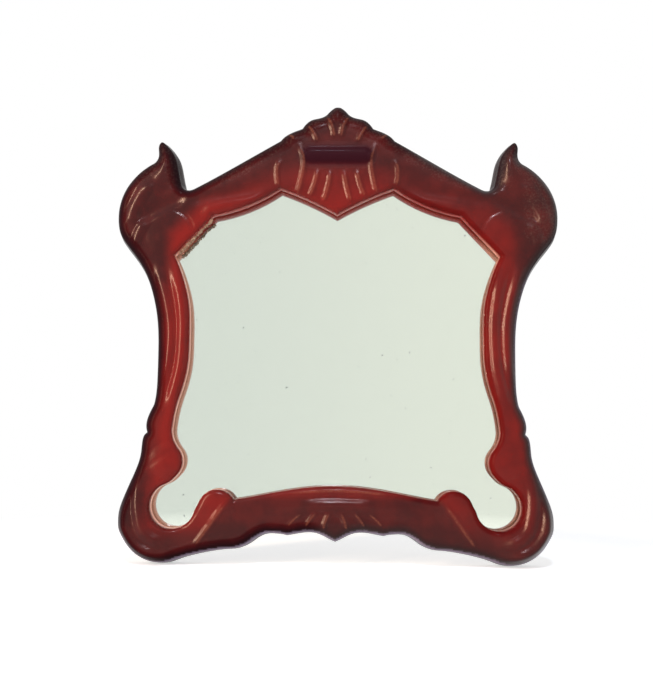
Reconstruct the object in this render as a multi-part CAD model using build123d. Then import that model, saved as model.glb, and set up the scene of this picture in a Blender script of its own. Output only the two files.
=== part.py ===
from build123d import *
import os
from math import cos, radians, sin

# Dressing table mirror for a 1:12 dolls' house.
# The mirror stands upright: X is to the right, Z is up, and the glass side faces -Y.
# The origin is under the middle of the frame, at half of its depth.
# Every length is in millimetres.

# Overall sizes
overall_width = 75.0
overall_height = 77.4
overall_depth = 5.6

# Outer outline
foot_inset = 1.8          # the scrolled foot stands in from the widest point
foot_height = 7.2         # height of the foot's own widest point
waist_inset = 7.5         # the waist stands in from the widest point
shoulder_drop = 19.6      # from the top of the crest to the widest point

# Moulding
bar_proud = 0.4           # the crest bar stands this far in front of the rails
ridge_height = 0.25       # the thin ridges stand this far in front of the rails
step_width = 0.8          # the front's outer edge steps back all round
step_height = 0.9
rail_width = 5.6          # across one side rail at the waist, at its front
rim_wall = 1.2            # wall left beside the recess at the waist
recess_depth = 2.7        # from the rear face to the back of the lip

# Sight opening
vee_drop = 19.5           # from the top of the crest to the point between the two arches
bottom_rail_top = 12.85   # height of the bottom rail's upper edge
notch_radius = 3.6        # round end of the opening inside each scroll
notch_inset = 9.3         # from the scroll's outer edge to the notch's centre
notch_height = 9.5
knob_radius = 3.2         # the rounded ends of the rails beside each notch

# Mirror plate and its coats
plate_thickness = 1.2
coating_thickness = 0.1
lacquer_thickness = 0.1
plate_clearance = 0.15    # all round the plate, inside the recess
plate_lap = 1.0           # least lap of the plate behind the lip at the notch

# Carved lines and small forms on the front
ridge_width = 0.6
rib_root = 1.0            # a ridge starts this far inside the moulding
bar_radius = 1.25
bar_length = 11.2
bar_end_round = 1.0
bar_drop = 9.25           # from the top of the crest to the bar's middle
lip_bevel = 0.7
lip_bevel_height = 0.3

# Glue
dab_radius = 1.5
dab_height = 0.7          # how far a dab rises from the lacquer
bead_width = 0.45         # squeezed-out bead across the glass
bead_height = 0.9         # and up the wall of the opening
bead_end_gap = 1.0        # from the bead's ends to the ends of its wall
long_edges = (1, 3, 4, 8)  # corners of the half plate where its long edges begin

# Places that follow from the sizes
half_width = overall_width / 2
rail_depth = overall_depth - bar_proud
back_y = overall_depth / 2
foot_x = half_width - foot_inset
waist_x = half_width - waist_inset
shoulder_z = overall_height - shoulder_drop
waist_z = (foot_height + shoulder_z) / 2
notch_x = foot_x - notch_inset
vee_z = overall_height - vee_drop
back_plane = Plane.XZ.offset(-back_y)


def on_circle(centre, radius, angle):
    """A point on a circle in the (x, z) plane, with the angle in degrees from +X."""
    turn = radians(angle)
    return (centre[0] + radius * cos(turn), centre[1] + radius * sin(turn))


def beside(x, z):
    """Return a function that gives a point from its distances to an anchor at (x, z)."""
    return lambda across, up: (x + across, z + up)


foot = beside(foot_x, foot_height)
waist = beside(waist_x, waist_z)
shoulder = beside(half_width, shoulder_z)
crest = beside(0, overall_height)
rail = beside(waist_x - rail_width, waist_z)


def outer_half():
    """Right half of the outer outline, from the bottom point up to the top of the crest."""
    bottom_point, cusp = (0, 3.6), (8.0, 4.6)
    toe, lowest = (foot_x - 17.2, 2.2), (foot_x - 7.4, 0)
    heel = foot(-4.25, 14.2)
    nape = foot(-5.3, 18.8)
    finial_root = shoulder(-13.2, 5.2)
    with BuildLine() as line:
        Spline(bottom_point, (1.2, 4.15), (3.0, 4.95), (4.6, 5.1), (6.4, 4.85), cusp)
        Spline(cusp, (9.6, 4.85), (11.0, 4.85), (12.4, 4.3), (14.0, 3.2),
               (foot_x - 20.0, 2.5), toe, tangents=[(0.8, 0.3), (1, -0.12)])
        Spline(toe, (foot_x - 13.7, 1.6), (foot_x - 10.4, 0.7), lowest,
               tangents=[(1, -0.12), (1, 0)])
        Spline(lowest, foot(-4.1, -6.4), foot(-1.7, -4.4), foot(-0.45, -2.4), foot(0, 0),
               tangents=[(1, 0), (0, 1)])
        Spline(foot(0, 0), foot(-0.8, 3.6), foot(-2.4, 7.5), foot(-3.35, 10.5),
               foot(-3.6, 13.0), heel, tangents=[(0, 1), (-1, 0.7)])
        Spline(heel, foot(-4.15, 15.8), foot(-4.6, 17.3), nape)
        Spline(nape, waist(0, 0), tangents=[(-0.25, 1), (0, 1)])
        Spline(waist(0, 0), shoulder(-7.1, -17.2), shoulder(-6.2, -13.2), shoulder(-4.5, -9.1),
               shoulder(-1.65, -5.2), shoulder(0, 0), tangents=[(0, 1), (0, 1)])
        Spline(shoulder(0, 0), shoulder(-0.35, 2.6), shoulder(-1.35, 5.1),
               shoulder(-2.9, 7.2), shoulder(-6.1, 9.7), tangents=[(0, 1), (-0.8, 0.5)])
        Spline(shoulder(-6.1, 9.7), shoulder(-6.5, 11.0), shoulder(-6.5, 12.5),
               shoulder(-7.2, 13.35), shoulder(-8.5, 12.6), shoulder(-9.9, 10.7),
               shoulder(-10.6, 8.2), shoulder(-11.1, 5.9))
        Spline(shoulder(-11.1, 5.9), shoulder(-12.1, 4.85), finial_root,
               tangents=[(-0.15, -1), (-1, 0.58)])
        Line(finial_root, crest(10.0, -6.1))
        Spline(crest(10.0, -6.1), crest(8.8, -5.0), crest(7.6, -4.4), crest(6.3, -3.9))
        Spline(crest(6.3, -3.9), crest(5.6, -3.0), crest(4.6, -2.3), crest(3.2, -1.95),
               crest(2.1, -1.4))
        Spline(crest(2.1, -1.4), crest(1.5, -0.75), crest(0.8, -0.2), crest(0, 0),
               tangents=[(-0.6, 0.8), (-1, 0)])
    return line


# Corners of the opening that other pieces also use
arch_corner = (9.6, vee_z + 4.5)
chamfer_top = shoulder(-16.7, -0.1)
chamfer_foot = shoulder(-10.3, -7.0)
upper_knob = (notch_x + 1.65, notch_height + 7.1)
lower_knob = (notch_x - 7.2, notch_height - 0.5)


def opening_half():
    """Right half of the sight opening, from the point between the arches down to the bottom rail."""
    notch = (notch_x, notch_height)
    armpit = (notch_x + 0.35, notch_height + 12.5)
    throat = on_circle(notch, notch_radius, 50)
    lip = on_circle(notch, notch_radius, 195)
    knob_start = on_circle(upper_knob, knob_radius, 140)
    knob_end = on_circle(upper_knob, knob_radius, 222)
    toe_start = on_circle(lower_knob, knob_radius, 20)
    toe_end = on_circle(lower_knob, knob_radius, 150)
    with BuildLine() as line:
        ThreePointArc((0, vee_z), (5.0, vee_z + 2.6), arch_corner)
        ThreePointArc(arch_corner, (arch_corner[0] + 5.0, arch_corner[1] - 2.8), chamfer_top)
        Line(chamfer_top, chamfer_foot)
        Spline(chamfer_foot, shoulder(-12.0, -11.2), shoulder(-12.95, -15.2), rail(-0.1, 4.5),
               rail(0.1, -0.5), rail(0.9, -4.1), armpit, tangents=[(-0.5, -1), (0.1, -1)])
        Spline(armpit, knob_start, tangents=[(0.1, -1), (-0.64, -0.77)])
        ThreePointArc(knob_start, on_circle(upper_knob, knob_radius, 180), knob_end)
        Spline(knob_end, (notch_x + 0.5, notch_height + 3.75), throat,
               tangents=[(0.67, -0.74), (0.77, -0.64)])
        ThreePointArc(throat, on_circle(notch, notch_radius, -60), lip)
        Spline(lip, toe_start, tangents=[(-0.26, 0.97), (-0.34, 0.94)])
        ThreePointArc(toe_start, on_circle(lower_knob, knob_radius, 85), toe_end)
        Spline(toe_end, (0, bottom_rail_top), tangents=[(-1, 0.15), (-1, 0)])
    return line


def plate_half():
    """Right half of the mirror plate, cut with straight edges, from its top down to its foot."""
    top = overall_height - 11.1
    side = waist_x - rim_wall - plate_clearance
    notch_side = notch_x + notch_radius + plate_lap
    foot_edge = notch_height - notch_radius - plate_lap - 0.2
    middle_edge = 6.7
    return [(0, top), (arch_corner[0] - 0.6, top), shoulder(-14.6, 2.7), shoulder(-9.1, -3.3),
            (side, waist_z), (notch_side, notch_height + 2.0), (notch_side, foot_edge + 1.3),
            (notch_side - 1.3, foot_edge), (lower_knob[0] + 2.0, foot_edge),
            (12.0, middle_edge), (0, middle_edge)]


def both_halves(line):
    """A face from a half outline and its mirror image across the X = 0 plane."""
    with BuildLine() as whole:
        add(line.line)
        mirror(about=Plane.YZ)
    return make_face(whole.wires()[0].edges())


def plate_face():
    """The mirror plate's outline as a face, both halves together."""
    right = plate_half()
    left = [(-x, z) for x, z in reversed(right) if x > 0]
    return make_face(Polyline(*right, *left, close=True).edges())


def slab(face, start, thickness):
    """A face made solid, from a height above the rear face, towards the front."""
    flat = Plane.XZ.offset(start - back_y) * face
    return extrude(flat, amount=thickness, dir=(0, -1, 0))


def redrawn_offset(face, distance):
    """A face grown or shrunk all round, with its curved edges drawn again as plain splines."""
    edges = []
    for edge in offset(face, distance).face().outer_wire().edges():
        if edge.geom_type in (GeomType.LINE, GeomType.CIRCLE):
            edges.append(edge)
        else:
            edges.append(Spline(*[edge @ (step / 8) for step in range(9)]))
    return make_face(edges)


def rib(start, middle, end):
    """One thin ridge on the front, pointed at both ends, as a flat lens shape made solid."""
    half = ridge_width / 2
    run_x, run_z = end[0] - start[0], end[1] - start[1]
    length = (run_x ** 2 + run_z ** 2) ** 0.5
    side_x, side_z = -run_z / length * half, run_x / length * half
    with BuildLine() as line:
        ThreePointArc(start, (middle[0] + side_x, middle[1] + side_z), end)
        ThreePointArc(end, (middle[0] - side_x, middle[1] - side_z), start)
    return slab(make_face(line.edges()), rail_depth - rib_root, rib_root + ridge_height)


def ribs():
    """The carved lines, right side first: fans, side rails, scrolls and finials."""
    notch = (notch_x, notch_height)
    lines = [
        # fan below the crest bar
        ((1.6, vee_z + 6.8), (2.2, vee_z + 4.6), (2.9, vee_z + 2.2)),
        ((3.9, vee_z + 7.2), (4.4, vee_z + 5.2), (5.1, vee_z + 3.4)),
        ((5.9, vee_z + 9.4), (6.3, vee_z + 6.8), (6.8, vee_z + 3.9)),
        ((9.7, vee_z + 8.9), (10.4, vee_z + 7.2), (9.8, vee_z + 5.2)),
        # fan above it
        (crest(1.9, -2.0), crest(0.9, -3.7), crest(0.5, -5.6)),
        (crest(4.9, -3.7), crest(4.0, -5.2), crest(3.7, -6.6)),
        (crest(6.9, -6.4), crest(6.1, -7.6), crest(5.8, -9.4)),
        # fan in the middle of the bottom rail
        ((0.6, 8.6), (1.5, 7.4), (2.0, 6.0)),
        ((2.9, 8.6), (4.0, 7.7), (4.7, 6.7)),
        # crease across the foot of the lower knob
        ((lower_knob[0] - 2.2, 10.8), (lower_knob[0] + 0.6, 7.1), (lower_knob[0] + 3.4, 3.4)),
        # finial
        (shoulder(-4.6, 3.8), shoulder(-3.1, 1.6), shoulder(-2.3, -0.8)),
        (shoulder(-5.1, -1.8), shoulder(-3.7, -3.3), shoulder(-2.9, -5.3)),
    ]
    for place in (0.9, 3.0):
        lines.append((rail(place + 2.4, 17.5), rail(place, 3.0), rail(place + 1.2, -5.0)))
    for radius in (notch_radius + 1.4, notch_radius + 3.4):
        lines.append(tuple(on_circle(notch, radius, angle) for angle in (35, -5, -45)))
    right = [rib(*points) for points in lines]
    left = [piece.mirror(Plane.YZ) for piece in right]
    return right + left


def make_frame():
    """The one-piece moulding: stepped front, crest bar and carved lines, with its openings cut."""
    outer = both_halves(outer_half())
    opening = both_halves(opening_half())
    body = slab(outer, 0, rail_depth - step_height)
    body += slab(redrawn_offset(outer, -step_width), 0, rail_depth)
    bar = Cylinder(bar_radius, bar_length, rotation=(0, 90, 0))
    bar = fillet(bar.edges(), bar_end_round)
    body += Pos(0, back_y - overall_depth + bar_radius, overall_height - bar_drop) * bar
    bevel = redrawn_offset(opening, lip_bevel)
    body -= slab(bevel, rail_depth - lip_bevel_height, lip_bevel_height)
    body -= slab(opening, 0, overall_depth)
    body -= slab(recess_face(), 0, recess_depth)
    return body + ribs()


def recess_face():
    """The outline of the recess behind the lip, which follows the plate all round."""
    return offset(plate_face(), plate_clearance, kind=Kind.INTERSECTION)


def make_mirror():
    """The clear plate, the bright coat behind it and the lacquer behind that."""
    plate = plate_face()
    layers = {}
    level = recess_depth
    thicknesses = {"mirror_plate": plate_thickness, "mirror_coating": coating_thickness,
                   "backing_lacquer": lacquer_thickness}
    for node, thickness in thicknesses.items():
        level -= thickness
        layers[node] = slab(plate, level, thickness)
    return layers, level


def make_dabs(level):
    """Dabs of glue behind the plate, against the wall, at the middles of its long edges."""
    ball = (dab_radius ** 2 + dab_height ** 2) / (2 * dab_height)
    room = slab(recess_face(), 0, level)
    corners = plate_half()
    spots = [corners[0], corners[-1]]
    for first in long_edges:
        (x, z), (next_x, next_z) = corners[first:first + 2]
        spots += [((x + next_x) / 2, (z + next_z) / 2), (-(x + next_x) / 2, (z + next_z) / 2)]
    dabs = []
    for x, z in spots:
        centre = Pos(x, back_y - level - ball + dab_height, z)
        dabs.append(room & centre * Sphere(ball))
    return Compound(dabs)


def make_bead():
    """A bead of glue squeezed out along the upper left wall of the opening."""
    wall_start = Vector(-chamfer_top[0], back_y - recess_depth, chamfer_top[1])
    wall_end = Vector(-chamfer_foot[0], back_y - recess_depth, chamfer_foot[1])
    along = (wall_end - wall_start).normalized()
    inward = Vector(-along.Z, 0, along.X)
    section = Plane(origin=wall_start + along * bead_end_gap, x_dir=inward, z_dir=along)
    profile = make_face(Polyline((0, 0), (bead_width, 0), (0, bead_height), close=True).edges())
    return extrude(section * profile, amount=(wall_end - wall_start).length - 2 * bead_end_gap)


os.makedirs("parts", exist_ok=True)
mirror_layers, free_level = make_mirror()
pieces = {"frame": make_frame(), **mirror_layers,
          "glue_dabs": make_dabs(free_level), "glue_bead": make_bead()}
for node, shape in pieces.items():
    export_step(shape, f"parts/{node}.step")
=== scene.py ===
"""Looks of a dolls' house dressing table mirror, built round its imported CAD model.

The moulding is sculpted from the CAD frame's own outlines: a front surface of reeds, fans and
scrolls, drafted walls, and the plain rear with its recess. Lengths are in millimetres until a
mesh is made.
"""
import math

import bmesh
import bpy
import numpy as np
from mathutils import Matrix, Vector, noise
from mathutils.geometry import delaunay_2d_cdt


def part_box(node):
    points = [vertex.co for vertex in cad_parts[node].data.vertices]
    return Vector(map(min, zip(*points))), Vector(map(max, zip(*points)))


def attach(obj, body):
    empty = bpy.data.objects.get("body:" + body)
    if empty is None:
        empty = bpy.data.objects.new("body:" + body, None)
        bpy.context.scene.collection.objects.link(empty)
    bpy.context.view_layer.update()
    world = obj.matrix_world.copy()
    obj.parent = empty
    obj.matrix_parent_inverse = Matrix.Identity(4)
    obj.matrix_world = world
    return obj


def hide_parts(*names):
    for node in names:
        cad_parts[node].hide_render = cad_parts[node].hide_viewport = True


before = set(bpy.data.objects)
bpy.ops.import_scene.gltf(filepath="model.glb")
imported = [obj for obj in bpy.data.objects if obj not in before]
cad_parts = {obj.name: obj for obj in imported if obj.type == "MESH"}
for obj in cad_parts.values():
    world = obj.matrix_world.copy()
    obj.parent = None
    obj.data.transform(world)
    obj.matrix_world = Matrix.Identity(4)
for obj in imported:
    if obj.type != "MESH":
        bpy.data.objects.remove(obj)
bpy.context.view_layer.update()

MM = 0.001
STEP = 0.3                       # spacing of the sculpted mesh
RECESS_STEP = 0.9                # spacing along the recess's outline
ROW_SHARES = (-1, -0.88, -0.45, 0, 0.45, 0.88, 1)   # mesh rows across a carved line
ROW_RATIO = 0.866                # row spacing of a triangular grid, per column spacing
SPOT_GAP = 0.165                 # least gap from the front's spots to its edges
SLIVER = 1e-6                    # twice the area below which a triangle is left out
BATCH = 1500                     # spots measured at a time
SHARP_TURN, RECESS_TURN = 33, 5  # an outline turns more than this, in degrees, at a corner
LONG_EDGE, LONG_TURN = 1.5, 3    # or more than LONG_TURN where an edge this long ends
WALL_SET = 0.02                  # how far the upright part of the outer wall leans in
FOOT_WALL = 1.3                  # height of that part
WALL = 3.1                       # height at which the drafted part above it ends
DRAFT = 0.32                     # how far in it ends there
SIDE_ROUND = 1.7                 # width over which the wall rounds into the front
CREST_ROUND = 3.2                # the same along the top
LIP_DROP = 0.35                  # the lip's edge lies this far below the rails
LIP_BEVEL = 0.8                  # width over which it rises to them
BLEND = 0.12                     # softness of the crease between round and lip
CARVING_ROOM = 0.75              # the rails' fronts lie this far behind the CAD frame's front
# The mesh's rings: insets from the outer outline, and for the opening (outset, share of the
# way from the recess to the front).
OUTER_RINGS = (0.0, 0.02, 0.12, 0.22, 0.32, 0.34, 0.38, 0.44, 0.52)
INNER_RINGS = ((0.28, 0.0), (0.0, 0.24), (0.03, 0.55), (0.07, 0.87), (0.14, 0.97), (0.26, 1.0))

frame_low, frame_high = (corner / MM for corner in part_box("frame"))
plate_low, _ = (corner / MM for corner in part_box("mirror_plate"))
BACK = frame_high.y
RECESS = BACK - plate_low.y      # depth of the recess, measured from the rear face
TOP = BACK - frame_low.y - CARVING_ROOM             # level of the rails' fronts
CREST = frame_high.z
HALF = frame_high.x
MIDDLE = Vector((0, 0, CREST / 2)) * MM             # of the whole object, in metres


# ---------------------------------------------------------------- outlines

def signed_area(loop):
    """The area of a closed outline, positive when it runs counter-clockwise."""
    ahead = np.roll(loop, -1, axis=0)
    return 0.5 * np.sum(loop[:, 0] * ahead[:, 1] - ahead[:, 0] * loop[:, 1])


def flat_outlines(node, height):
    """Outlines in (x, z) of a node's flat faces at a height above the rear face, largest first."""
    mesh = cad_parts[node].data
    level = (BACK - height) * MM
    edges = set()
    for face in mesh.polygons:
        corners = [mesh.vertices[index].co for index in face.vertices]
        if all(abs(corner.y - level) < 2e-6 for corner in corners):
            spots = [(round(corner.x / MM, 4), round(corner.z / MM, 4)) for corner in corners]
            edges.update(zip(spots, spots[1:] + spots[:1]))
    ahead = {start: end for start, end in edges if start != end and (end, start) not in edges}
    loops = []
    while ahead:
        start, spot = ahead.popitem()
        loop = [start]
        while spot != start:
            loop.append(spot)
            spot = ahead.pop(spot)
        loops.append(np.array(loop))
    loops = [loop if signed_area(loop) > 0 else loop[::-1] for loop in loops]
    return sorted(loops, key=signed_area, reverse=True)


def smooth_path(points, spacing):
    """Points at even steps along a smooth curve through the given ones."""
    points = np.asarray(points, float)
    reach = np.concatenate(([0], np.cumsum(np.linalg.norm(np.diff(points, axis=0), axis=1))))
    slopes = np.gradient(points, reach, axis=0)
    steps = max(int(round(reach[-1] / spacing)), 1)
    at = np.linspace(0, reach[-1], steps + 1)
    left = np.clip(np.searchsorted(reach, at, side="right") - 1, 0, len(reach) - 2)
    gap = (reach[left + 1] - reach[left])[:, None]
    u = (at[:, None] - reach[left][:, None]) / gap
    return ((1 + 2 * u) * (1 - u) ** 2 * points[left] + u * (1 - u) ** 2 * gap * slopes[left]
            + u ** 2 * (3 - 2 * u) * points[left + 1] + u ** 2 * (u - 1) * gap * slopes[left + 1])


def even_loop(loop, spacing, sharpest=SHARP_TURN):
    """A closed outline at even steps, smooth but for its corners."""
    before = loop - np.roll(loop, 1, axis=0)
    after = np.roll(loop, -1, axis=0) - loop
    turn = np.arctan2(before[:, 0] * after[:, 1] - before[:, 1] * after[:, 0],
                      np.sum(before * after, axis=1))
    reach = np.maximum(np.linalg.norm(before, axis=1), np.linalg.norm(after, axis=1))
    turn = np.abs(np.degrees(turn))
    corners = np.flatnonzero((turn > sharpest) | ((reach > LONG_EDGE) & (turn > LONG_TURN)))
    stretches = []
    for first, last in zip(corners, np.roll(corners, -1)):
        count = (last - first) % len(loop) or len(loop)
        run = loop[(first + np.arange(count + 1)) % len(loop)]
        stretches.append(smooth_path(run, spacing)[:-1])
    return np.concatenate(stretches)


def inward(loop):
    """For each point of a counter-clockwise loop, the way in, longer at a mitred corner."""
    ahead = np.roll(loop, -1, axis=0) - loop
    ahead /= np.linalg.norm(ahead, axis=1)[:, None]
    normal = np.stack([-ahead[:, 1], ahead[:, 0]], axis=1)
    both = normal + np.roll(normal, 1, axis=0)
    both /= np.linalg.norm(both, axis=1)[:, None]
    spread = np.clip(np.sum(both * normal, axis=1), 0.75, 1)
    return both / spread[:, None]


def distance(spots, path, closed=False):
    """Each spot's distance to a path, and how far along it that is from 0 to 1."""
    start = path if closed else path[:-1]
    run = np.roll(path, -1, axis=0) - path if closed else np.diff(path, axis=0)
    square = np.maximum(np.sum(run ** 2, axis=1), 1e-12)
    best, along = np.zeros(len(spots)), np.zeros(len(spots))
    for first in range(0, len(spots), BATCH):
        part = slice(first, first + BATCH)
        away = spots[part, None, :] - start[None, :, :]
        share = np.clip(np.sum(away * run, axis=2) / square, 0, 1)
        gap = np.linalg.norm(away - share[:, :, None] * run, axis=2)
        near = np.argmin(gap, axis=1)
        rows = np.arange(len(near))
        best[part] = gap[rows, near]
        along[part] = (near + share[rows, near]) / len(start)
    return best, along


def inside(spots, loop):
    """True for each spot that lies inside a closed outline."""
    result = np.zeros(len(spots), bool)
    for (x1, z1), (x2, z2) in zip(loop, np.roll(loop, -1, axis=0)):
        if z1 != z2:
            crosses = (spots[:, 1] < z1) != (spots[:, 1] < z2)
            result ^= crosses & (spots[:, 0] < x1 + (spots[:, 1] - z1) / (z2 - z1) * (x2 - x1))
    return result


def fade(low, high, value):
    """0 at low, 1 at high and smooth between. Low may be the larger of the two."""
    share = np.clip((value - low) / (high - low), 0, 1)
    return share * share * (3 - 2 * share)


outer_loop, recess_loop = flat_outlines("frame", 0)
_, opening_loop = flat_outlines("frame", RECESS)
plate_loop = flat_outlines("mirror_plate", RECESS)[0]
outer_loop = even_loop(outer_loop, STEP)
opening_loop = even_loop(opening_loop, STEP)


# ---------------------------------------------------------------- carving

RIB, CUT = 1, -1
# Each carved line: its form, half width, slope and points (x, z). One that starts right of the
# middle is mirrored.
CARVING = (
    # side rail
    (RIB, 1.05, 0.80, ((27.7, 51.2), (27.0, 47.6), (26.1, 44.0), (25.55, 40.0), (25.5, 36.5),
                       (25.8, 32.0), (26.7, 27.8), (27.4, 24.2))),
    (RIB, 0.98, 0.80, ((30.2, 51.4), (29.4, 47.2), (28.4, 43.6), (27.6, 39.5), (27.45, 36.5),
                       (27.8, 32.0), (28.5, 28.2))),
    # scroll round the notch
    (RIB, 1.15, 0.75, ((31.2, 15.6), (31.8, 12.6), (31.9, 10.3), (31.6, 7.9), (30.8, 5.6),
                       (28.9, 4.0), (26.5, 3.7))),
    (RIB, 1.15, 0.75, ((33.4, 12.4), (34.1, 9.9), (34.2, 7.8), (33.7, 5.6), (32.5, 3.6),
                       (30.4, 2.2), (27.6, 1.9))),
    # creases beside the knobs
    (CUT, 0.60, 0.11, ((25.4, 19.4), (28.0, 17.5), (30.6, 15.7), (33.2, 14.0))),
    (RIB, 0.70, 0.62, ((16.9, 10.9), (18.6, 8.7), (20.6, 5.9), (22.9, 2.7))),
    # bottom rail
    (RIB, 0.60, 0.40, ((-10.0, 11.3), (-5.0, 11.85), (0.0, 12.05), (5.0, 11.85), (10.0, 11.3))),
    (RIB, 1.45, 0.24, ((-13.5, 9.1), (-9.0, 9.4), (-4.0, 9.65), (0.0, 9.7), (4.0, 9.65),
                       (9.0, 9.4), (13.5, 9.1))),
    (RIB, 1.10, 0.62, ((-6.5, 9.6), (0.0, 9.8), (6.5, 9.6))),
    (CUT, 1.00, 0.30, ((-13.0, 7.0), (-8.0, 7.5), (0.0, 7.9), (8.0, 7.5), (13.0, 7.0))),
    (RIB, 0.58, 0.80, ((0.7, 8.8), (1.45, 7.5), (1.9, 5.7))),
    (RIB, 0.55, 0.65, ((2.8, 8.8), (4.0, 7.5), (4.9, 6.2))),
    (RIB, 0.50, 0.45, ((5.1, 8.6), (6.6, 7.5), (7.7, 6.3))),
    # fan below the crest bar
    (RIB, 0.62, 0.66, ((1.15, 65.9), (1.3, 64.2), (1.75, 62.0), (2.45, 59.7))),
    (RIB, 0.62, 0.66, ((3.25, 66.0), (3.5, 64.5), (4.0, 62.6), (4.8, 60.6))),
    (RIB, 0.66, 0.72, ((7.0, 70.8), (6.3, 69.4), (5.8, 67.9), (5.7, 66.4), (6.0, 64.4),
                       (6.5, 62.2), (7.1, 60.6))),
    (RIB, 0.62, 0.62, ((9.3, 67.6), (10.1, 66.2), (10.2, 64.4), (9.8, 62.4))),
    # fan above it
    (RIB, 0.66, 0.64, ((2.5, 75.4), (1.8, 74.8), (0.9, 73.1), (0.5, 71.0))),
    (RIB, 0.62, 0.64, ((5.6, 73.8), (5.0, 73.3), (4.0, 71.9), (3.3, 70.3))),
    (RIB, 0.65, 0.45, ((8.7, 72.3), (7.9, 71.6), (7.3, 70.9))),
    # top rail
    (RIB, 1.05, 0.42, ((11.8, 61.3), (14.4, 60.2), (17.4, 59.7), (20.8, 58.9), (23.2, 57.4))),
    (CUT, 1.30, 0.30, ((11.0, 63.4), (14.5, 62.1), (18.5, 61.3), (22.6, 60.6), (25.4, 59.4))),
    # finial
    (CUT, 1.60, 0.50, ((25.3, 62.4), (27.0, 60.4), (29.4, 59.2), (31.6, 58.0), (33.2, 55.6))),
    (RIB, 1.80, 0.34, ((28.6, 69.6), (28.6, 67.2), (29.4, 64.8), (30.8, 62.4), (32.0, 60.6))),
    (RIB, 1.40, 0.60, ((31.0, 64.2), (32.3, 62.3), (33.6, 60.0), (34.5, 57.6), (34.8, 55.6))),
    (RIB, 1.10, 0.58, ((31.3, 57.6), (32.5, 56.0), (33.4, 54.1), (33.9, 52.0))),
    (CUT, 0.60, 0.34, ((24.0, 54.2), (24.5, 56.2), (25.8, 57.9), (27.8, 58.7))),
)
RIB_SHARPNESS, CUT_SHARPNESS = 1.35, 2
HEAD_TAPER, FOOT_TAPER = 0.30, 0.18      # shares of a line over which it begins and ends
HIGHLIGHT_RIB_WIDTH = 0.9                       # ribs narrower than this carry a painted highlight along their tops
# Rounded bosses: centre, radius and height.
BOSSES = (((0.0, 75.4), 2.1, 0.16), ((3.7, 74.1), 1.8, 0.08), ((7.3, 72.1), 1.8, 0.08),
          ((19.3, 9.4), 3.2, 0.34), ((27.4, 16.7), 3.0, 0.32), ((28.4, 54.6), 4.0, 0.22))
BAR = np.array(((-4.5, 68.15), (4.5, 68.15)))
BAR_RADIUS = 1.3
BAR_HEIGHT = 0.36
RAIL_SHIFT = 0.6                 # the right rail's reeds lie this much further out
FOOT_LEAN = 0.085                # how steeply the scrolled feet swell forward
FOOT_LEAN_TOP = 14.0             # below what height
FOOT_LEAN_DEPTH = 9.5            # and how far down


def carved_paths():
    """Every carved line on both halves, as (form, half width, slope, smooth path)."""
    lines = []
    for form, width, slope, points in CARVING:
        on_rail = points[0][0] > 24 and 22 < points[-1][1] < 30
        right = [(x + RAIL_SHIFT * on_rail, z) for x, z in points]
        lines.append((form, width, slope, smooth_path(right, STEP)))
        if points[0][0] > 0:
            left = [(-x, z) for x, z in points]
            lines.append((form, width, slope, smooth_path(left, STEP)))
    return lines


CARVED = carved_paths()


def carve(spots):
    """The height that the carving adds at each spot, and how near each lies to a ridge's top."""
    total = np.zeros(len(spots))
    ridge = np.zeros(len(spots))
    for form, width, slope, path in CARVED:
        low, high = path.min(axis=0) - width, path.max(axis=0) + width
        near = np.flatnonzero(np.all((spots > low) & (spots < high), axis=1))
        if not len(near):
            continue
        gap, along = distance(spots[near], path)
        taper = fade(0, HEAD_TAPER, along) * fade(0, FOOT_TAPER, 1 - along)
        across = np.clip(gap / width, 0, 1)
        sharpness = RIB_SHARPNESS if form == RIB else CUT_SHARPNESS
        rise = slope * width / 2 * (1 - across ** 2) ** sharpness
        total[near] += form * rise * taper
        # narrow ribs carry a painted highlight along their tops
        if form == RIB and width < HIGHLIGHT_RIB_WIDTH:
            ridge[near] = np.maximum(ridge[near], taper * (1 - across) ** 1.5)
    for (x, z), radius, height in BOSSES:
        for side in (1, -1):
            away = np.hypot(spots[:, 0] - side * x, spots[:, 1] - z) / radius
            total += height * (0.5 if x == 0 else 1) * np.clip(1 - away ** 2, 0, 1)
    gap, _ = distance(spots, BAR)
    total += BAR_HEIGHT * np.sqrt(np.clip(1 - (gap / BAR_RADIUS) ** 2, 0, 1))
    return total, ridge


def front_height(spots, from_outer, from_opening):
    """Height of the moulding's front above its rear face at each spot."""
    radius = SIDE_ROUND + (CREST_ROUND - SIDE_ROUND) * fade(60, 65, spots[:, 1])
    share = np.clip((from_outer - DRAFT) / radius, 0, 1)
    outer = FOOT_WALL * np.clip(from_outer / WALL_SET, 0, 1)
    outer += (WALL - FOOT_WALL) * np.clip((from_outer - WALL_SET) / (DRAFT - WALL_SET), 0, 1)
    outer += (TOP - WALL) * np.sqrt(1 - (1 - share) ** 2)
    lip = TOP - LIP_DROP + LIP_DROP * fade(0, LIP_BEVEL, from_opening)
    base = -BLEND * np.logaddexp(-outer / BLEND, -lip / BLEND)
    carving, _ = carve(spots)
    lean = FOOT_LEAN * np.clip(FOOT_LEAN_TOP - spots[:, 1], 0, FOOT_LEAN_DEPTH)
    carving += lean * fade(24.5, 29.0, np.abs(spots[:, 0]))
    clear = fade(0.3, 1.7, from_outer) * fade(0.0, 0.4, from_opening)
    return base + carving * clear


# ---------------------------------------------------------------- the moulding's mesh

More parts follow.
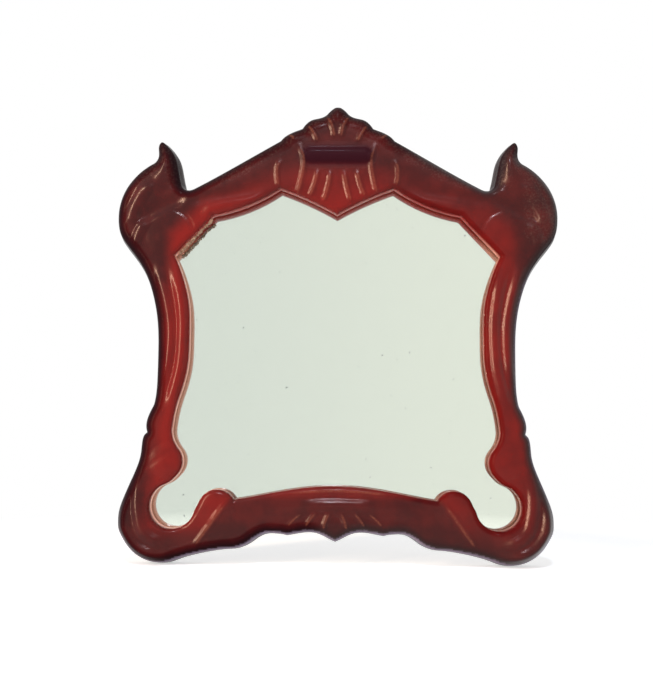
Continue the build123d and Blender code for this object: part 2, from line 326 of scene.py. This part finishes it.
def interior_spots(edge_rings):
    """Spots for the front's mesh: an even grid, with rows along each carved line."""
    rows = []
    for _, width, _, path in CARVED:
        ahead = np.gradient(path, axis=0)
        ahead /= np.linalg.norm(ahead, axis=1)[:, None]
        across = np.stack([-ahead[:, 1], ahead[:, 0]], axis=1)
        rows += [path + across * width * share for share in ROW_SHARES]
    rows = np.concatenate(rows)
    columns = np.arange(-HALF, HALF, STEP)
    levels = np.arange(0, CREST, STEP * ROW_RATIO)
    grid = np.array([(x + (number % 2) * STEP / 2, z)
                     for number, z in enumerate(levels) for x in columns])
    spots = np.concatenate([rows, grid])
    keep = np.ones(len(spots), bool)
    for loop, wanted in edge_rings:
        gap, _ = distance(spots, loop, closed=True)
        keep &= (inside(spots, loop) == wanted) & (gap > SPOT_GAP)
    spots = spots[keep]
    cell = STEP * 0.5
    _, first = np.unique(np.round(spots / cell), axis=0, return_index=True)
    return spots[np.sort(first)]


def triangulate(loops, spots):
    """Triangles that fill the space between an outer loop and an inner one, through the spots."""
    everything = np.concatenate([*loops, spots])
    edges, first = [], 0
    for loop in loops:
        count = len(loop)
        edges += [(first + step, first + (step + 1) % count) for step in range(count)]
        first += count
    flat = [tuple(spot) for spot in everything]
    _, _, faces, origin, _, _ = delaunay_2d_cdt(flat, edges, [], 0, 1e-6)
    source = [merged[0] for merged in origin]
    triangles = np.array([[source[corner] for corner in face] for face in faces])
    middle = everything[triangles].mean(axis=1)
    first, second, third = (everything[triangles[:, corner]] for corner in range(3))
    ahead, across = second - first, third - first
    double_area = np.abs(ahead[:, 0] * across[:, 1] - ahead[:, 1] * across[:, 0])
    wanted = inside(middle, loops[0]) & ~inside(middle, loops[1]) & (double_area > SLIVER)
    return triangles[wanted]


def strip(lower, upper):
    """Quads between two rings of vertex numbers of the same length."""
    count = len(lower)
    return [(lower[step], lower[(step + 1) % count], upper[(step + 1) % count], upper[step])
            for step in range(count)]


class Shell:
    """Vertices and faces of a closed surface, gathered ring by ring."""

    def __init__(self):
        self.spots, self.heights, self.faces = [], [], []
        self.count = 0

    def add(self, spots, heights):
        heights = np.broadcast_to(heights, (len(spots),))
        numbers = list(range(self.count, self.count + len(spots)))
        self.spots.append(spots)
        self.heights.append(heights)
        self.count += len(spots)
        return numbers

    def mesh(self, name):
        """The surface as a mesh whose faces all look outwards, with its spots and heights."""
        spots, heights = np.concatenate(self.spots), np.concatenate(self.heights)
        places = np.stack([spots[:, 0], BACK - heights, spots[:, 1]], axis=1) * MM
        faces = [[int(corner) for corner in face] for face in self.faces]
        mesh = bpy.data.meshes.new(name)
        mesh.from_pydata(places.tolist(), [], faces)
        form = bmesh.new()
        form.from_mesh(mesh)
        bmesh.ops.recalc_face_normals(form, faces=form.faces)
        form.to_mesh(mesh)
        form.free()
        return mesh, spots, heights


def build_moulding():
    """The sculpted moulding's mesh, and the spot and height of each vertex."""
    shell = Shell()
    outer_in, opening_in = inward(outer_loop), inward(opening_loop)
    outer_rings, lower = [], None
    for inset in OUTER_RINGS:
        ring = outer_loop + outer_in * inset
        far = np.full(len(ring), HALF)
        height = front_height(ring, np.full(len(ring), inset), far)
        numbers = shell.add(ring, height if inset else np.zeros(len(ring)))
        if lower:
            shell.faces += strip(lower, numbers)
        lower = numbers
        outer_rings.append((ring, numbers))
    inner_rings, lower = [], None
    for outset, share in INNER_RINGS:
        ring = opening_loop - opening_in * outset
        far, _ = distance(ring, outer_loop, closed=True)
        height = front_height(ring, far, np.full(len(ring), outset if share else 0))
        numbers = shell.add(ring, RECESS + (height - RECESS) * share)
        if lower:
            shell.faces += strip(numbers, lower)
        lower = numbers
        inner_rings.append((ring, numbers))
    (edge, edge_numbers), (lip, lip_numbers) = outer_rings[-1], inner_rings[-1]
    spots = interior_spots(((edge, True), (lip, False)))
    from_outer, _ = distance(spots, outer_loop, closed=True)
    from_opening, _ = distance(spots, opening_loop, closed=True)
    height = front_height(spots, from_outer, from_opening)
    numbers = edge_numbers + lip_numbers + shell.add(spots, height)
    shell.faces += [[numbers[i] for i in face] for face in triangulate([edge, lip], spots)]
    # the rear: the flat rim, the recess wall and the back of the lip
    recess = even_loop(recess_loop, RECESS_STEP, RECESS_TURN)
    rim_numbers = shell.add(recess, 0.0)
    floor_numbers = shell.add(recess, RECESS)
    shell.faces += strip(rim_numbers, floor_numbers)
    no_spots = np.zeros((0, 2))
    for loops, rings in (([outer_loop, recess], (outer_rings[0][1], rim_numbers)),
                         ([recess, inner_rings[0][0]], (floor_numbers, inner_rings[0][1]))):
        both = rings[0] + rings[1]
        shell.faces += [[both[i] for i in face[::-1]] for face in triangulate(loops, no_spots)]
    return shell.mesh("moulding")


def set_paint(mesh, spots, heights):
    """Paint two vertex colours.

    "paint" holds how far light comes through, the painted highlight on narrow ridges, dust and
    the painted shade on the bar. "edges" holds the painted shade along the outer edge, the painted
    light on the opening's wall, the painted reflection along the rim and the loss of shine.
    """
    from_outer, _ = distance(spots, outer_loop, closed=True)
    from_outer *= np.where(inside(spots, outer_loop), 1, 0)
    from_plate, _ = distance(spots, plate_loop, closed=True)
    over_plate = np.where(inside(spots, plate_loop), from_plate, -from_plate)
    from_opening, _ = distance(spots, opening_loop, closed=True)
    from_bar, _ = distance(spots, BAR)
    _, ridge = carve(spots)
    x, z = spots[:, 0], spots[:, 1]
    side = np.abs(x)

    # light that comes back off the plate: less beside the fan and towards the right,
    lit = fade(-1.2, 2.2, over_plate + 1.6 * fade(5, 20, x)) * fade(0.6, 2.4, from_outer)
    lit *= 1 - 0.40 * fade(57, 63, z) * fade(6.0, 9.0, side) - 0.30 * fade(5.0, 25.0, x)
    # less on the bottom rail between the creases,
    crease = 16.9 + 0.73 * (10.9 - z)
    lit *= 1 - 0.85 * fade(11.7, 10.2, z) * fade(crease + 0.7, crease - 0.9, side)
    # less towards the feet, the crest and the bottom lip,
    lit *= 1 - 0.20 * fade(18.0, 12.0, z) - 0.45 * fade(8.0, 4.0, z)
    lit *= 1 - 0.56 * fade(58, 66, z) - 0.25 * fade(13.6, 12.4, z) * fade(17.0, 15.0, side)
    # and less on the right of the top rail
    lit *= 1 - 0.38 * fade(53, 58, z) * fade(8.0, 12.0, x)

    # dust along the top and on the right finial
    dust = 0.7 * fade(61, 65, z) * fade(3.6, 1.0, from_outer)
    dust = np.maximum(dust, 0.6 * fade(30.5, 32.5, side) * fade(51, 56, z) * fade(0, 4, x))

    # painted shade: the plastic darkens along the outer edge
    edge = fade(2.2, 0.7, from_outer)

    # the plastic is dull down the left, on the crest, at its edge, by the right opening, and
    # on the bar
    dull = fade(2.3, 1.75, from_outer) * fade(0, -5, x)
    dull = np.maximum(dull, 0.8 * fade(66, 70, z) * fade(3.2, 2.4, from_outer))
    dull = np.maximum(dull, fade(0.9, 0.45, from_outer))
    dull = np.maximum(dull, 0.85 * fade(1.0, 0.6, from_opening) * fade(5, 15, x))
    dull = np.maximum(dull, 0.75 * fade(2.2, 1.3, from_bar))

    # painted light on the opening's wall and the back of the lip, which also glow; fainter on the
    # right and along the bottom
    wall = fade(0.10, 0.02, from_opening) * fade(RECESS + 2.2, RECESS + 1.7, heights)
    wall = np.maximum(wall, np.abs(heights - RECESS) < 0.01)
    bottom_lip = fade(14.6, 13.6, z) * fade(19.0, 17.0, side)
    wall *= 1 - 0.6 * np.maximum(fade(5, 15, x) * fade(52, 48, z), bottom_lip)

    # a painted reflection along the rim at the bottom and, less so, up the right
    painted_rim_reflection = fade(0.75, 0.50, from_outer) * fade(2.0, 2.7, heights)
    painted_rim_reflection *= np.maximum(fade(6.5, 5.2, z), 0.4 * fade(10, 25, x) * fade(50, 45, z))

    add_paint(mesh, "paint", (lit, ridge, dust, fade(2.8, 0.9, from_bar)))
    add_paint(mesh, "edges", (edge, wall, painted_rim_reflection, dull))


def add_paint(mesh, name, channels):
    layer = mesh.color_attributes.new(name, "FLOAT_COLOR", "POINT")
    layer.data.foreach_set("color", np.stack(channels, axis=1).astype(np.float32).ravel())


# ---------------------------------------------------------------- materials

class Nodes:
    """A short way to build one material's nodes."""

    def __init__(self, name):
        self.material = bpy.data.materials.new(name)
        self.material.use_nodes = True
        self.tree = self.material.node_tree
        self.shader = self.tree.nodes["Principled BSDF"]
        self.output = self.tree.nodes["Material Output"]
        self.place = self.new("ShaderNodeTexCoord").outputs["Object"]

    def new(self, kind, **inputs):
        node = self.tree.nodes.new(kind)
        for name, value in inputs.items():
            self.set(node.inputs[name.replace("_", " ")], value)
        return node

    def set(self, socket, value):
        if isinstance(value, bpy.types.NodeSocket):
            self.tree.links.new(value, socket)
        else:
            socket.default_value = value

    def noise(self, scale, detail=3.0, rough=0.55):
        return self.new("ShaderNodeTexNoise", Vector=self.place, Scale=scale, Detail=detail,
                        Roughness=rough).outputs["Fac"]

    def math(self, operation, first, second=0.0):
        node = self.tree.nodes.new("ShaderNodeMath")
        node.operation = operation
        self.set(node.inputs[0], first)
        self.set(node.inputs[1], second)
        return node.outputs[0]

    def band(self, value, low, high, bottom=0.0, top=1.0):
        node = self.new("ShaderNodeMapRange", Value=value)
        node.interpolation_type = "SMOOTHSTEP"
        for name, number in zip(("From Min", "From Max", "To Min", "To Max"),
                                (low, high, bottom, top)):
            node.inputs[name].default_value = number
        return node.outputs[0]

    def mix(self, share, first, second):
        node = self.tree.nodes.new("ShaderNodeMix")
        node.data_type = "RGBA"
        self.set(node.inputs[0], share)
        self.set(node.inputs[6], first)
        self.set(node.inputs[7], second)
        return node.outputs[2]

    def bump(self, height, depth, strength=1.0):
        node = self.new("ShaderNodeBump", Height=height, Distance=depth, Strength=strength)
        self.set(self.shader.inputs["Normal"], node.outputs[0])

    def surface(self, **inputs):
        for name, value in inputs.items():
            self.set(self.shader.inputs[name.replace("_", " ")], value)


# sRGB colours, 0 to 255.
COLOURS = {
    "deep": (54, 14, 17), "deep_patch": (72, 19, 20), "edge": (34, 15, 20), "bar": (44, 12, 22),
    "lit": (120, 21, 18), "painted_ridge_highlight": (156, 92, 70), "dust": (98, 82, 72), "dots": (158, 144, 132),
    "wall": (216, 146, 126), "upper_wall": (152, 54, 50), "rim_reflection": (142, 128, 148),
    "sheet": (254, 255, 254),
    "film_left": (213, 220, 210), "film_right": (225, 230, 217), "flaw": (150, 158, 150),
    "lacquer": (96, 100, 104), "lacquer_streak": (130, 133, 134),
    "cement": (176, 122, 92), "cement_crazing": (236, 202, 170),
}


def colour(name):
    """A named colour as linear values, with an alpha of 1."""
    def linear(value):
        value /= 255
        return value / 12.92 if value <= 0.04045 else ((value + 0.055) / 1.055) ** 2.4
    return (*(linear(value) for value in COLOURS[name]), 1.0)


def plastic_material():
    """Dark red translucent polystyrene, brighter where light comes back off the plate."""
    nodes = Nodes("red_plastic")
    paint, edges = nodes.new("ShaderNodeAttribute"), nodes.new("ShaderNodeAttribute")
    paint.attribute_name, edges.attribute_name = "paint", "edges"
    lit, ridge, dust = nodes.new("ShaderNodeSeparateColor", Color=paint.outputs["Color"]).outputs
    edge, wall, painted_rim_reflection = nodes.new("ShaderNodeSeparateColor", Color=edges.outputs["Color"]).outputs
    bar, dull = paint.outputs["Alpha"], edges.outputs["Alpha"]
    cloud = nodes.noise(230, 4)
    fine = nodes.noise(2600, 5, 0.7)
    specks = nodes.noise(4200, 2, 0.5)

    # the plastic's own colour, dark where no light comes through, with painted shade along the
    # outer edge and on the bar
    lit = nodes.math("MULTIPLY", lit, nodes.band(cloud, 0.3, 0.7, 0.78, 1.1))
    base = nodes.mix(nodes.band(cloud, 0.35, 0.65), colour("deep"), colour("deep_patch"))
    base = nodes.mix(edge, base, colour("edge"))
    # painted shade on the bar, dark and violet where the thick plastic lets less light through
    base = nodes.mix(bar, base, colour("bar"))
    base = nodes.mix(lit, base, colour("lit"))
    # a painted highlight along the tops of the narrow ridges, broken up by noise, then dust and its
    # specks on it
    highlight_breakup = nodes.band(fine, 0.4, 0.62, 0.15, 0.35)
    painted_ridge_highlight = nodes.math("MULTIPLY", nodes.band(ridge, 0.3, 0.95), highlight_breakup)
    base = nodes.mix(painted_ridge_highlight, base, colour("painted_ridge_highlight"))
    dusty = nodes.math("MULTIPLY", dust, nodes.band(fine, 0.46, 0.68, 0.02, 0.34))
    base = nodes.mix(dusty, base, colour("dust"))
    dots = nodes.math("MULTIPLY", dust, nodes.band(specks, 0.74, 0.80))
    base = nodes.mix(dots, base, colour("dots"))
    # painted light on the opening's wall, where light shines through from the plate, and a painted
    # reflection along the rim
    level = nodes.new("ShaderNodeSeparateXYZ", Vector=nodes.place).outputs["Z"]
    glow = nodes.mix(nodes.band(level, 0.050, 0.056), colour("wall"), colour("upper_wall"))
    base = nodes.mix(wall, base, glow)
    base = nodes.mix(painted_rim_reflection, base, colour("rim_reflection"))

    rough = nodes.math("ADD", nodes.band(cloud, 0.3, 0.7, 0.20, 0.27),
                       nodes.math("MULTIPLY", dusty, 0.8))
    rough = nodes.math("ADD", rough, nodes.math("MULTIPLY", bar, 0.22))
    # the wall's emission is painted light: the wall glows though it is no lamp
    nodes.surface(Base_Color=base, Roughness=rough, IOR=1.5,
                  Specular_IOR_Level=nodes.band(dull, 0.0, 1.0, 0.22, 0.02),
                  Specular_Tint=(1.0, 0.72, 0.60, 1.0),
                  Emission_Color=base, Emission_Strength=nodes.math("MULTIPLY", wall, 0.42),
                  Coat_Weight=nodes.band(dull, 0.0, 1.0, 0.05, 0.0), Coat_Roughness=0.06)
    wave = nodes.math("ADD", nodes.noise(420, 2), nodes.math("MULTIPLY", fine, 0.10))
    nodes.bump(wave, 0.00010, 0.5)
    return nodes.material


def plate_material():
    """Clear sheet with a slight green cast."""
    nodes = Nodes("clear_sheet")
    nodes.surface(Base_Color=colour("sheet"), Roughness=0.0, IOR=1.49, Transmission_Weight=1.0)
    nodes.bump(nodes.noise(90, 1), 0.00002, 0.3)
    return nodes.material


def coating_material():
    """Bright metallised coat with a painted reflection that grows a little paler to the right, and
    a few pin-sized flaws.
    """
    nodes = Nodes("bright_coat")
    flaws = nodes.band(nodes.noise(1500, 2, 0.5), 0.71, 0.74)
    across = nodes.new("ShaderNodeSeparateXYZ", Vector=nodes.place).outputs["X"]
    # painted reflection: the coat turns paler from left to right
    painted_reflection_shift = nodes.mix(nodes.band(across, -0.030, 0.030), colour("film_left"),
                      colour("film_right"))
    nodes.surface(Base_Color=nodes.mix(flaws, painted_reflection_shift, colour("flaw")), Metallic=1.0,
                  Roughness=0.05)
    return nodes.material


def lacquer_material():
    """Flat grey lacquer, brushed on unevenly."""
    nodes = Nodes("grey_lacquer")
    streaks = nodes.noise(700, 5, 0.7)
    nodes.surface(Base_Color=nodes.mix(streaks, colour("lacquer"), colour("lacquer_streak")),
                  Roughness=nodes.band(streaks, 0.3, 0.7, 0.45, 0.7))
    nodes.bump(streaks, 0.00006, 0.6)
    return nodes.material


def glue_material():
    """Aged brown cement with bubbles and pale crazing."""
    nodes = Nodes("brown_cement")
    lumps = nodes.noise(1500, 5, 0.7)
    crazing = nodes.band(lumps, 0.35, 0.65)
    nodes.surface(Base_Color=nodes.mix(crazing, colour("cement"), colour("cement_crazing")),
                  Roughness=0.38)
    nodes.bump(lumps, 0.0002, 0.7)
    return nodes.material


# ---------------------------------------------------------------- pieces

HAIR = 0.00001                   # metres shaved off each face of the plate and the film
SHARP_EDGE = math.radians(50)
DAB_GROWTH, DAB_LUMPINESS = 1.02, 0.30
RESIDUE_DROPS = 17
RESIDUE_LUMPINESS = 0.7


def add_object(name, mesh, material):
    """An object that rides on the root body, with one material."""
    piece = bpy.data.objects.new(name, mesh)
    bpy.context.collection.objects.link(piece)
    mesh.materials.append(material)
    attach(piece, "root")
    return piece


def make_moulding():
    mesh, spots, heights = build_moulding()
    set_paint(mesh, spots, heights)
    piece = add_object("sculpted_moulding", mesh, plastic_material())
    mesh.shade_smooth()
    mesh.set_sharp_from_angle(angle=SHARP_EDGE)
    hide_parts("frame")


def repaint(node, material):
    """Give a CAD node a material."""
    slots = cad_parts[node].data.materials
    slots.clear()
    slots.append(material)


def remake_sheet(node, name, material):
    """A sheet like the CAD one but a hair thinner, so that no two faces lie in one plane."""
    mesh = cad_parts[node].data.copy()
    low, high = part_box(node)
    middle = (low.y + high.y) / 2
    for vertex in mesh.vertices:
        vertex.co.y += math.copysign(HAIR, middle - vertex.co.y)
    mesh.materials.clear()
    piece = add_object(name, mesh, material)
    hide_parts(node)


def blob(middle, radii, roughness, seed, rings=14, sectors=22):
    """Vertices and faces of a lumpy closed drop."""
    places, faces = [], []
    for ring in range(1, rings):
        polar = math.pi * ring / rings
        for sector in range(sectors):
            turn = math.tau * sector / sectors
            way = Vector((math.sin(polar) * math.cos(turn), math.cos(polar),
                          math.sin(polar) * math.sin(turn)))
            lump = 1 + roughness * noise.noise(way * 1.7 + Vector((seed * 7.3, 0, 0)))
            places.append(Vector([c + w * r * lump for c, w, r in zip(middle, way, radii)]))
    for ring in range(rings - 2):
        for sector in range(sectors):
            ahead = (sector + 1) % sectors
            first, second = ring * sectors, (ring + 1) * sectors
            faces.append((first + sector, first + ahead, second + ahead, second + sector))
    for end, first in ((1, 0), (-1, (rings - 2) * sectors)):
        tip = len(places)
        places.append(Vector((middle[0], middle[1] + end * radii[1], middle[2])))
        for sector in range(sectors):
            face = (tip, first + (sector + 1) % sectors, first + sector)
            faces.append(face if end > 0 else face[::-1])
    return places, faces


def lumps_object(name, drops, material):
    """One piece made of drops, each given as (middle, radii, roughness)."""
    places, faces = [], []
    for number, (middle, radii, roughness) in enumerate(drops):
        new_places, new_faces = blob(middle, radii, roughness, number)
        faces += [tuple(len(places) + corner for corner in face) for face in new_faces]
        places += new_places
    mesh = bpy.data.meshes.new(name)
    mesh.from_pydata([place * MM for place in places], [], faces)
    mesh.shade_smooth()
    return add_object(name, mesh, material)


def parts_of(node):
    """The boxes, as (middle, half size) in millimetres, of a node's separate solids."""
    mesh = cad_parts[node].data
    home = list(range(len(mesh.vertices)))

    def root(index):
        while home[index] != index:
            home[index] = home[home[index]]
            index = home[index]
        return index

    seen = {}
    for vertex in mesh.vertices:
        key = tuple(round(value, 7) for value in vertex.co)
        home[vertex.index] = seen.setdefault(key, vertex.index)
    for edge in mesh.edges:
        home[root(edge.vertices[0])] = root(edge.vertices[1])
    groups = {}
    for vertex in mesh.vertices:
        groups.setdefault(root(vertex.index), []).append(vertex.co / MM)
    boxes = []
    for group in groups.values():
        low = Vector([min(values) for values in zip(*group)])
        high = Vector([max(values) for values in zip(*group)])
        boxes.append(((low + high) / 2, (high - low) / 2))
    return sorted(boxes, key=lambda box: (round(box[0].x, 3), round(box[0].z, 3)))


def make_glue(material):
    """The cement dabs behind the plate, and the ragged residue in the opening's corner."""
    drops = [(middle, half * DAB_GROWTH, DAB_LUMPINESS) for middle, half in parts_of("glue_dabs")]
    piece = lumps_object("cement_dabs", drops, material)
    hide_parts("glue_dabs")
    middle, half = parts_of("glue_bead")[0]
    start = middle + Vector((-half.x, 0, -half.z))
    end = middle + Vector((half.x, 0, half.z))
    drops = []
    for number in range(RESIDUE_DROPS):
        share = (number + 0.5) / RESIDUE_DROPS
        swell = noise.noise(Vector((share * 11.0, 2.5, 0)))
        place = start.lerp(end, share) + Vector((-0.16, -0.25 - 0.25 * swell, 0.16))
        size = 0.27 + 0.20 * swell
        radii = Vector((size, 0.75 * size + 0.25, size * 1.1))
        drops.append((place, radii, RESIDUE_LUMPINESS))
    piece = lumps_object("cement_residue", drops, material)
    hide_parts("glue_bead")


make_moulding()
remake_sheet("mirror_plate", "clear_plate", plate_material())
remake_sheet("mirror_coating", "bright_film", coating_material())
repaint("backing_lacquer", lacquer_material())
make_glue(glue_material())


# ---------------------------------------------------------------- set, light and camera

# Lengths from here on are in metres.
FLOOR_HALF = 6.0
FLOOR_NEAR, FLOOR_FAR = 0.05, 0.115    # the floor turns from shaded to plain white between these
FLOOR_GLOW = 0.55                      # its own light up close, where the shadow falls
WORLD_LEVEL = 0.38                     # light from the world; white when seen or reflected
WHITE = (1.0, 1.0, 1.0, 1.0)
# Each lamp: name, place, width, height, radiance and tint.
LAMPS = (
    ("warm_left", (-0.40, -0.445, 0.13), 0.055, 0.56, 46.0, (1.0, 0.80, 0.62)),
    ("cool_top", (-0.01, -0.24, 0.27), 0.022, 0.024, 260.0, (0.72, 0.80, 1.0)),
    ("soft_right", (0.30, -0.20, 0.10), 0.20, 0.20, 0.5, (1.0, 0.96, 0.94)),
)
CAMERA_AZIMUTH, CAMERA_ELEVATION = math.radians(0.9), math.radians(-7.0)
CAMERA_ROLL = math.radians(0.42)
CAMERA_REACH = 0.145
CAMERA_LENS = 45.9
CAMERA_SHIFT = (-0.0146, -0.0072)
CAMERA_CLIP = 0.005
CAMERA_TARGET = Vector((0, 0, 0.03765))


def make_floor():
    """A pale floor that keeps the object's shadow and fades to plain white further out."""
    nodes = Nodes("pale_floor")
    nodes.surface(Base_Color=(0.86, 0.86, 0.86, 1.0), Roughness=0.9)
    glow = nodes.new("ShaderNodeEmission", Color=WHITE)
    path = nodes.new("ShaderNodeLightPath").outputs
    seen = nodes.math("MAXIMUM", path["Is Camera Ray"], path["Is Glossy Ray"])
    seen = nodes.math("MAXIMUM", seen, path["Is Transmission Ray"])
    reach = nodes.tree.nodes.new("ShaderNodeVectorMath")
    reach.operation = "LENGTH"
    nodes.set(reach.inputs[0], nodes.place)
    far = nodes.band(reach.outputs["Value"], FLOOR_NEAR, FLOOR_FAR)
    level = nodes.math("MULTIPLY", seen, nodes.band(far, 0, 1, FLOOR_GLOW, 1.0))
    nodes.set(glow.inputs["Strength"], level)
    both, fading = nodes.new("ShaderNodeAddShader"), nodes.new("ShaderNodeMixShader")
    nodes.set(both.inputs[0], nodes.shader.outputs[0])
    nodes.set(both.inputs[1], glow.outputs[0])
    nodes.set(fading.inputs[0], nodes.math("MULTIPLY", seen, far))
    nodes.set(fading.inputs[1], both.outputs[0])
    nodes.set(fading.inputs[2], glow.outputs[0])
    nodes.set(nodes.output.inputs["Surface"], fading.outputs[0])
    mesh = bpy.data.meshes.new("floor")
    corners = [(x * FLOOR_HALF, y * FLOOR_HALF, 0) for x, y in ((-1, -1), (1, -1), (1, 1), (-1, 1))]
    mesh.from_pydata(corners, [], [(0, 1, 2, 3)])
    mesh.materials.append(nodes.material)
    floor = bpy.data.objects.new("floor", mesh)
    bpy.context.collection.objects.link(floor)


def make_world():
    """A plain world that is white where it is seen, reflected or looked at through the sheet."""
    world = bpy.data.worlds.new("studio")
    bpy.context.scene.world = world
    world.use_nodes = True
    tree = world.node_tree
    background = tree.nodes["Background"]
    background.inputs["Color"].default_value = WHITE
    path = tree.nodes.new("ShaderNodeLightPath").outputs
    seen = path["Is Camera Ray"]
    for kind in ("Is Glossy Ray", "Is Transmission Ray"):
        node = tree.nodes.new("ShaderNodeMath")
        node.operation = "MAXIMUM"
        tree.links.new(seen, node.inputs[0])
        tree.links.new(path[kind], node.inputs[1])
        seen = node.outputs[0]
    level = tree.nodes.new("ShaderNodeMapRange")
    level.inputs["To Min"].default_value = WORLD_LEVEL
    level.inputs["To Max"].default_value = 1.0
    tree.links.new(seen, level.inputs["Value"])
    tree.links.new(level.outputs[0], background.inputs["Strength"])


def add_lamp(name, place, width, height, radiance, tint):
    """A rectangular softbox that faces the object. Its brightness is what a mirror would show."""
    lamp = bpy.data.lights.new(name, "AREA")
    lamp.shape = "RECTANGLE"
    lamp.size, lamp.size_y = width, height
    lamp.energy = radiance * math.pi * width * height
    lamp.color = tint
    holder = bpy.data.objects.new(name, lamp)
    bpy.context.collection.objects.link(holder)
    holder.location = place
    holder.rotation_euler = (MIDDLE - Vector(place)).to_track_quat("-Z", "Y").to_euler()


def add_camera():
    """A camera just above the floor that looks slightly up at the object."""
    flat = math.cos(CAMERA_ELEVATION)
    back = Vector((math.sin(CAMERA_AZIMUTH) * flat, -math.cos(CAMERA_AZIMUTH) * flat,
                   math.sin(CAMERA_ELEVATION)))
    data = bpy.data.cameras.new("camera")
    data.lens = CAMERA_LENS
    data.clip_start = CAMERA_CLIP
    data.shift_x, data.shift_y = CAMERA_SHIFT
    camera = bpy.data.objects.new("camera", data)
    bpy.context.collection.objects.link(camera)
    camera.location = CAMERA_TARGET + back * CAMERA_REACH
    turn = (-back).to_track_quat("-Z", "Y").to_matrix()
    camera.rotation_euler = turn.to_euler()
    camera.rotation_euler.rotate_axis("Z", CAMERA_ROLL)
    bpy.context.scene.camera = camera


make_floor()
make_world()
for settings in LAMPS:
    add_lamp(*settings)
add_camera()
bpy.context.scene.view_settings.view_transform = "Standard"
